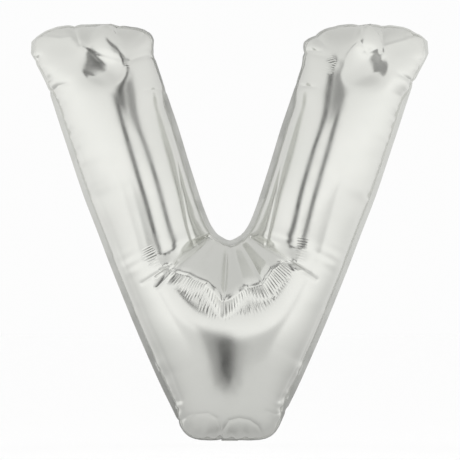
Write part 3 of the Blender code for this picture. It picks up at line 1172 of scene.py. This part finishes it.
# Soft-edged panels in front of the letter: name, brightness, shares over which it fades out at
# the sides and at the ends, turn of its width about Z in degrees, and the places along its middle
# with its width there. Places are x, y and height above the letter's bottom edge.
PANELS = (
    ("body_left", 0.77, 0.20, 0.13, 0, ((-0.62, -1.20, -0.55, 0.80), (-0.62, -1.20, 0.25, 0.80))),
    ("body_right", 0.66, 0.20, 0.13, 0, ((0.60, -1.20, -0.55, 0.95), (0.60, -1.20, 0.25, 0.95))),
    ("body_flank", 0.52, 0.22, 0.20, 0, ((0.02, -1.16, -0.98, 0.62), (0.04, -1.16, 0.28, 0.56))),
    ("body_flank_left", 0.38, 0.20, 0.16, 0, ((-0.17, -1.15, -0.90, 0.52), (-0.20, -1.15, 0.44, 0.50))),
    ("body_core", 0.06, 0.28, 0.20, 0, ((-0.05, -1.12, -0.72, 0.34), (-0.04, -1.12, 0.31, 0.30))),
    ("camera_left", 0.03, 0.45, 0.14, 0, (
        (-0.11, -0.60, 0.79, 0.25), (-0.12, -0.60, 1.18, 0.27), (-0.17, -0.60, 1.42, 0.16))),
    ("camera_right", 0.32, 0.25, 0.14, 0, ((0.11, -0.60, 0.79, 0.30), (0.11, -0.60, 1.20, 0.34))),
    ("left_stand", 0.02, 0.18, 0.10, -35, (
        (-0.082, -0.34, 0.36, 0.060), (-0.116, -0.365, 0.445, 0.086), (-0.147, -0.42, 0.54, 0.100),
        (-0.171, -0.485, 0.63, 0.110), (-0.188, -0.56, 0.75, 0.120), (-0.200, -0.70, 0.86, 0.144),
        (-0.205, -0.88, 1.10, 0.168))),
    ("right_stand", 0.12, 0.18, 0.10, 35, (
        (0.088, -0.285, 0.36, 0.050), (0.122, -0.31, 0.455, 0.076), (0.138, -0.365, 0.54, 0.090),
        (0.156, -0.42, 0.62, 0.106), (0.164, -0.50, 0.73, 0.124), (0.172, -0.72, 0.90, 0.162),
        (0.180, -0.92, 1.10, 0.190))),
)
BACKGROUND = 0.98
FLOOR_DROP = 0.30  # from the letter's bottom edge down to the floor
FLOOR_GLOW = 0.045
FLOOR_HALF = 12.0
CAMERA_DISTANCE = 5.0
PHOTO_PIXELS = 460
METRES_PER_PIXEL = 0.00206
VIEW_CENTRE = (0.0006, 0.4336)  # x and height above the letter's bottom edge


def hide_from_view(piece):
    """Leaves a studio piece only in the foil's reflections."""
    bpy.context.scene.collection.objects.link(piece)
    piece.visible_camera = False
    piece.visible_shadow = False
    piece.visible_diffuse = False


def panel(name, brightness, side_fade, end_fade, turn, places):
    """A ribbon of glowing panels along its places, level from side to side."""
    points, faces, across_and_along = [], [], []
    across, inwards = math.cos(math.radians(turn)), math.sin(math.radians(turn))
    for x, y, height, width in places:
        for side in (-0.5, 0.5):
            points.append((x + side * width * across, y + side * width * inwards, height + bottom))
    for k in range(len(places) - 1):
        faces.append((2 * k, 2 * k + 1, 2 * k + 3, 2 * k + 2))
        low, high = k / (len(places) - 1), (k + 1) / (len(places) - 1)
        across_and_along += [(0, low), (1, low), (1, high), (0, high)]
    mesh = bpy.data.meshes.new(name)
    mesh.from_pydata(points, [], faces)
    layer = mesh.uv_layers.new(name="across_and_along")
    for corner, place in zip(layer.data, across_and_along):
        corner.uv = place
    mesh.materials.append(panel_material(name + "_glow", brightness, side_fade, end_fade))
    hide_from_view(bpy.data.objects.new(name, mesh))


def dome():
    mesh = bpy.data.meshes.new("studio_dome")
    shape = bmesh.new()
    bmesh.ops.create_uvsphere(shape, u_segments=96, v_segments=48, radius=DOME_RADIUS)
    shape.to_mesh(mesh)
    shape.free()
    mesh.materials.append(dome_material())
    piece = bpy.data.objects.new("studio_dome", mesh)
    piece.location = (0, 0, bottom + VIEW_CENTRE[1])
    hide_from_view(piece)


def studio():
    dome()
    for row in PANELS:
        panel(*row)
    mesh = bpy.data.meshes.new("floor")
    corners = ((-1, -1), (1, -1), (1, 1), (-1, 1))
    level = bottom - FLOOR_DROP
    mesh.from_pydata([(FLOOR_HALF * x, FLOOR_HALF * y, level) for x, y in corners], [], [(0, 1, 2, 3)])
    mesh.materials.append(floor_material())
    floor = bpy.data.objects.new("floor", mesh)
    bpy.context.scene.collection.objects.link(floor)
    floor.visible_glossy = False
    world = bpy.data.worlds.new("studio_air")
    world.use_nodes = True
    sky = world.node_tree.nodes["Background"]
    sky.inputs["Color"].default_value = (1, 1, 1, 1)
    sky.inputs["Strength"].default_value = BACKGROUND
    bpy.context.scene.world = world
    bpy.context.scene.view_settings.view_transform = "Standard"


def camera():
    lens = bpy.data.cameras.new("photo_camera")
    lens.sensor_width = 36
    lens.lens = lens.sensor_width * CAMERA_DISTANCE / (PHOTO_PIXELS * METRES_PER_PIXEL)
    lens.clip_end = 100
    view = bpy.data.objects.new("photo_camera", lens)
    view.location = (VIEW_CENTRE[0], -CAMERA_DISTANCE, VIEW_CENTRE[1] + bottom)
    view.rotation_euler = (math.pi / 2, 0, 0)
    bpy.context.scene.collection.objects.link(view)
    bpy.context.scene.camera = view


# The filling neck: a flat sleeve of two foil plies, sealed along both sides, which is welded to
# the flange's bottom edge and folded back under the foot.
NECK_FOLD = (0.00165, -0.0005)  # y of the fold, and its height above the letter's bottom edge
NECK_LIFT = math.radians(15)  # how far the folded neck points above level, at the back
NECK_LENGTH = 0.080
NECK_WIDTH = 0.034
NECK_SEAL = 0.004  # width of the sealed sides
NECK_THICKNESS = 0.00030
SEAL_FLAT = 0.6  # share of that width that lies flat
NECK_PUFF = 0.0013  # half the sleeve's opening at its mouth
ROOT_PUFF = 0.35  # share of it at the root
PUFF_START = 0.1  # share of the sleeve's length from which it opens
NECK_START = 0.003  # where the sleeve leaves the strip at its root
NECK_WAVE = 0.0006
PLY_APART = 0.55  # share of its thickness by which each ply lies off the sleeve's middle
ROOT_LAP = 0.004  # how far the strip at the root reaches under the sleeve
ROOT_TURN = 0.45  # share of its length in which it turns round the fold
ROOT_HEIGHT = 0.0035  # how far it reaches up behind the flange
ROOT_DROP = 0.0004  # how far below the fold it lies
ROOT_OUT = 0.25  # share of its length from which it runs out towards the sleeve
ROOT_SLOPE = 0.0048  # how far it then follows the sleeve's slope
ROOT_STEPS = 24
VALVE_START = 0.022
VALVE_END = 0.088
VALVE_WIDTH = 0.024
VALVE_THICKNESS = 0.00012
VALVE_CURL = 0.0016  # how far the valve film's end curls up
CURL_START = 0.85  # share of its length from which it does
NECK_STEPS = 60
NECK_ACROSS = 32


def sheet_piece(name, surface, thickness, along_steps, across_steps):
    """A closed thin sheet on a surface given by its shares along and across."""
    shares = np.linspace(0, 1, along_steps), np.linspace(0, 1, across_steps)
    along, across = np.meshgrid(*shares, indexing="ij")
    points = surface(along.ravel(), across.ravel())
    grid = np.arange(len(points)).reshape(along_steps, across_steps)
    quads = np.stack([grid[:-1, :-1], grid[1:, :-1], grid[1:, 1:], grid[:-1, 1:]], -1).reshape(-1, 4)
    triangles = np.vstack([quads[:, [0, 1, 2]], quads[:, [0, 2, 3]]])
    normals = vertex_normals(points, triangles)
    border = np.concatenate([grid[:, 0], grid[-1, 1:], grid[-2::-1, -1], grid[0, -2:0:-1]])
    following = np.roll(border, -1)
    under = len(points)
    faces = np.vstack([
        triangles,
        triangles[:, ::-1] + under,
        np.stack([border, border + under, following], 1),
        np.stack([following, border + under, following + under], 1),
    ])
    upper, lower = points + normals * thickness / 2, points - normals * thickness / 2
    return build_mesh(name, np.vstack([upper, lower]), faces)


def neck_frame(out, across, up):
    """Places in the folded neck's own directions, turned to where it hangs."""
    y = NECK_FOLD[0] + out * math.cos(NECK_LIFT) - up * math.sin(NECK_LIFT)
    z = NECK_FOLD[1] + out * math.sin(NECK_LIFT) + up * math.cos(NECK_LIFT) + bottom
    return np.stack([across, y, z], 1)


def neck_wave(share, across):
    """How far the folded film waves, more and more towards the sleeve's mouth."""
    second = 0.6 * np.sin(17 * share - 8 * across + 1.0)
    return NECK_WAVE * share * (np.sin(9 * share + 5 * across) + second)


def neck_ply(side):
    """One ply of the sleeve: flat at its sealed sides, and opening towards its mouth."""
    def surface(along, across):
        out = NECK_START + (NECK_LENGTH - NECK_START) * along
        place = (across - 0.5) * NECK_WIDTH
        inside = smooth((NECK_WIDTH / 2 - np.abs(place)) / NECK_SEAL - SEAL_FLAT)
        round_share = np.sqrt(np.clip(1 - (2 * place / NECK_WIDTH) ** 2, 0, 1))
        opening = smooth((along - PUFF_START) / (1 - PUFF_START))
        puff = NECK_PUFF * inside * round_share * (ROOT_PUFF + (1 - ROOT_PUFF) * opening)
        apart = side * (puff + NECK_THICKNESS * PLY_APART)
        return neck_frame(out, place, neck_wave(along, across) + apart)
    return surface


def valve_surface(along, across):
    out = VALVE_START + (VALVE_END - VALVE_START) * along
    place = (across - 0.5) * VALVE_WIDTH
    curl = VALVE_CURL * smooth((along - CURL_START) / (1 - CURL_START)) * along
    return neck_frame(out, place, neck_wave(out / NECK_LENGTH, across) + curl)


def root_surface(along, across):
    """The strip from the flange's bottom edge round the fold to the sleeve."""
    place = (across - 0.5) * NECK_WIDTH
    out_share = np.clip((along - ROOT_OUT) / (1 - ROOT_OUT), 0, 1)
    out = NECK_FOLD[0] + (NECK_START + ROOT_LAP) * out_share * math.cos(NECK_LIFT)
    up_share = np.clip((along - ROOT_TURN) / (1 - ROOT_TURN), 0, 1)
    up = ROOT_HEIGHT * (1 - smooth(along / ROOT_TURN))
    up += ROOT_SLOPE * math.sin(NECK_LIFT) * up_share
    return np.stack([place, out, NECK_FOLD[1] - ROOT_DROP + up + bottom], 1)


def dress_neck(foil, clear):
    """Builds the sleeve, its valve film and the strip that bends with the fold."""
    plies = [
        sheet_piece("neck_" + name, neck_ply(side), NECK_THICKNESS, NECK_STEPS, NECK_ACROSS)
        for name, side in (("upper_ply", 1), ("lower_ply", -1))
    ]
    valve = sheet_piece("valve_tongue", valve_surface, VALVE_THICKNESS, NECK_STEPS, NECK_ACROSS)
    root = sheet_piece("neck_root", root_surface, NECK_THICKNESS, ROOT_STEPS, NECK_ACROSS)
    for piece in plies:
        piece.data.materials.append(foil)
        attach(piece, "neck")
        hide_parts("filling_neck")
    valve.data.materials.append(clear)
    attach(valve, "neck")
    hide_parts("valve_film")
    root.data.materials.append(foil)
    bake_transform(root)


rim = rim_outline(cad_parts["front_film"].data)
bottom = rim[:, 1].min()
rim[:, 1] -= bottom
rim = resample(rim, COARSE / 4)
film = inflated_film(rim)
foil = foil_material()
clear = clear_material()
skin = film_skin(film, rim)
front = film_mesh("front_foil", skin, -1)
back = film_mesh("back_foil", skin, 1)
for piece, node in ((front, "front_film"), (back, "back_film")):
    piece.data.materials.append(foil)
    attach(piece, "envelope")
    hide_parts(node)
dress_neck(foil, clear)
studio()
camera()
